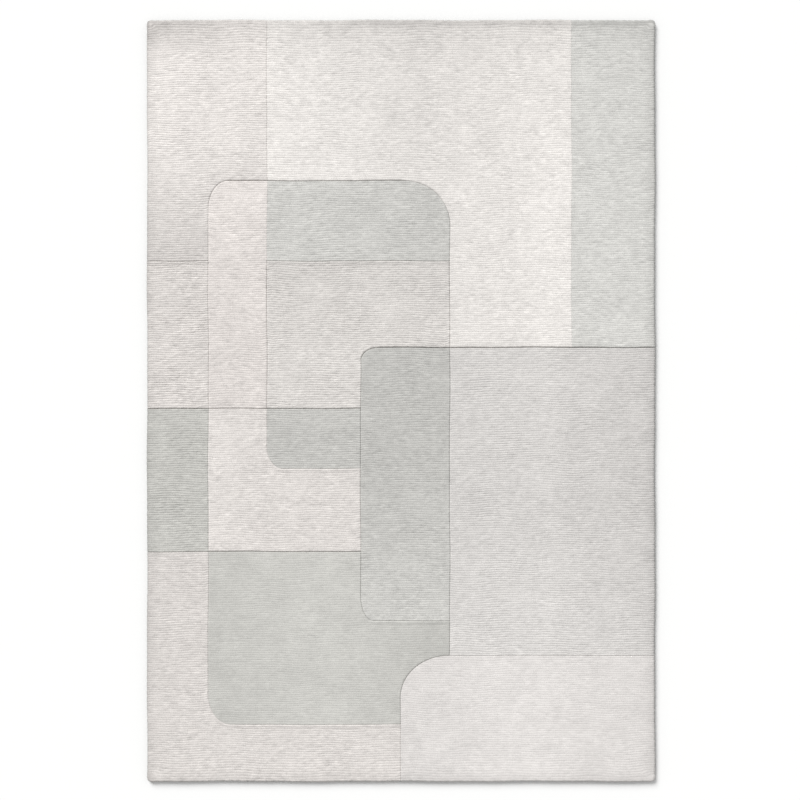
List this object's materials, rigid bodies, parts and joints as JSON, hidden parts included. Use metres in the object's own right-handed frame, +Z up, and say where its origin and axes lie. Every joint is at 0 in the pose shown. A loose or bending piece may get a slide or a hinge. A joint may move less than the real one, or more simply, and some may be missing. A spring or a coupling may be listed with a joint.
{
  "type": "area rug",
  "caption": "Rectangular hand-tufted area rug with low wool pile in a carved pattern of overlapping rounded blocks, yarn-whipped edges and a taped canvas back.",
  "frame": {"origin": "middle of the underside, on the floor that the rug lies on", "axes": "+X across the rug along the yarn rows, +Y along the rug towards its head end, +Z up out of the pile"},
  "size_m": [1.2, 1.8, 0.013],
  "materials": {
    "pile_ivory": "matt wool and viscose pile, warm ivory",
    "pile_rose_ivory": "matt wool pile, ivory with a rose cast",
    "pile_pearl": "matt wool pile, pearl grey",
    "pile_silver": "matt wool pile, silver grey",
    "pile_grey": "matt wool pile, cool grey",
    "whipping_yarn": "matt grey wool yarn, wound close",
    "cotton_tape": "undyed herringbone cotton tape",
    "sewing_thread": "waxed beige thread",
    "canvas": "unbleached plain-weave cotton canvas",
    "gauze": "open leno gauze",
    "latex": "dried cream latex",
    "tufting_cloth": "plain-weave tufting cloth"
  },
  "bodies": {
    "root": {"binding_tape_right": "cotton_tape", "tape_seam_right": "sewing_thread", "edge_whipping_right": "whipping_yarn", "binding_tape_head": "cotton_tape", "tape_seam_head": "sewing_thread", "edge_whipping_head": "whipping_yarn", "binding_tape_left": "cotton_tape", "tape_seam_left": "sewing_thread", "edge_whipping_left": "whipping_yarn", "binding_tape_foot": "cotton_tape", "tape_seam_foot": "sewing_thread", "edge_whipping_foot": "whipping_yarn", "backing_canvas": "canvas", "backing_gauze": "gauze", "latex_layer": "latex", "tufting_cloth": "tufting_cloth", "pile_top_left": "pile_ivory", "pile_top_centre": "pile_ivory", "pile_top_right": "pile_pearl", "pile_left_column": "pile_rose_ivory", "pile_upper_bar": "pile_silver", "pile_left_upper": "pile_rose_ivory", "pile_inner_step": "pile_rose_ivory", "pile_left_middle": "pile_grey", "pile_centre_left": "pile_rose_ivory", "pile_dark_block": "pile_grey", "pile_tall_panel": "pile_grey", "pile_lower_block": "pile_silver", "pile_bottom_right": "pile_ivory", "pile_bottom_left": "pile_rose_ivory", "pile_right_side": "pile_pearl"}
  },
  "joints": []
}
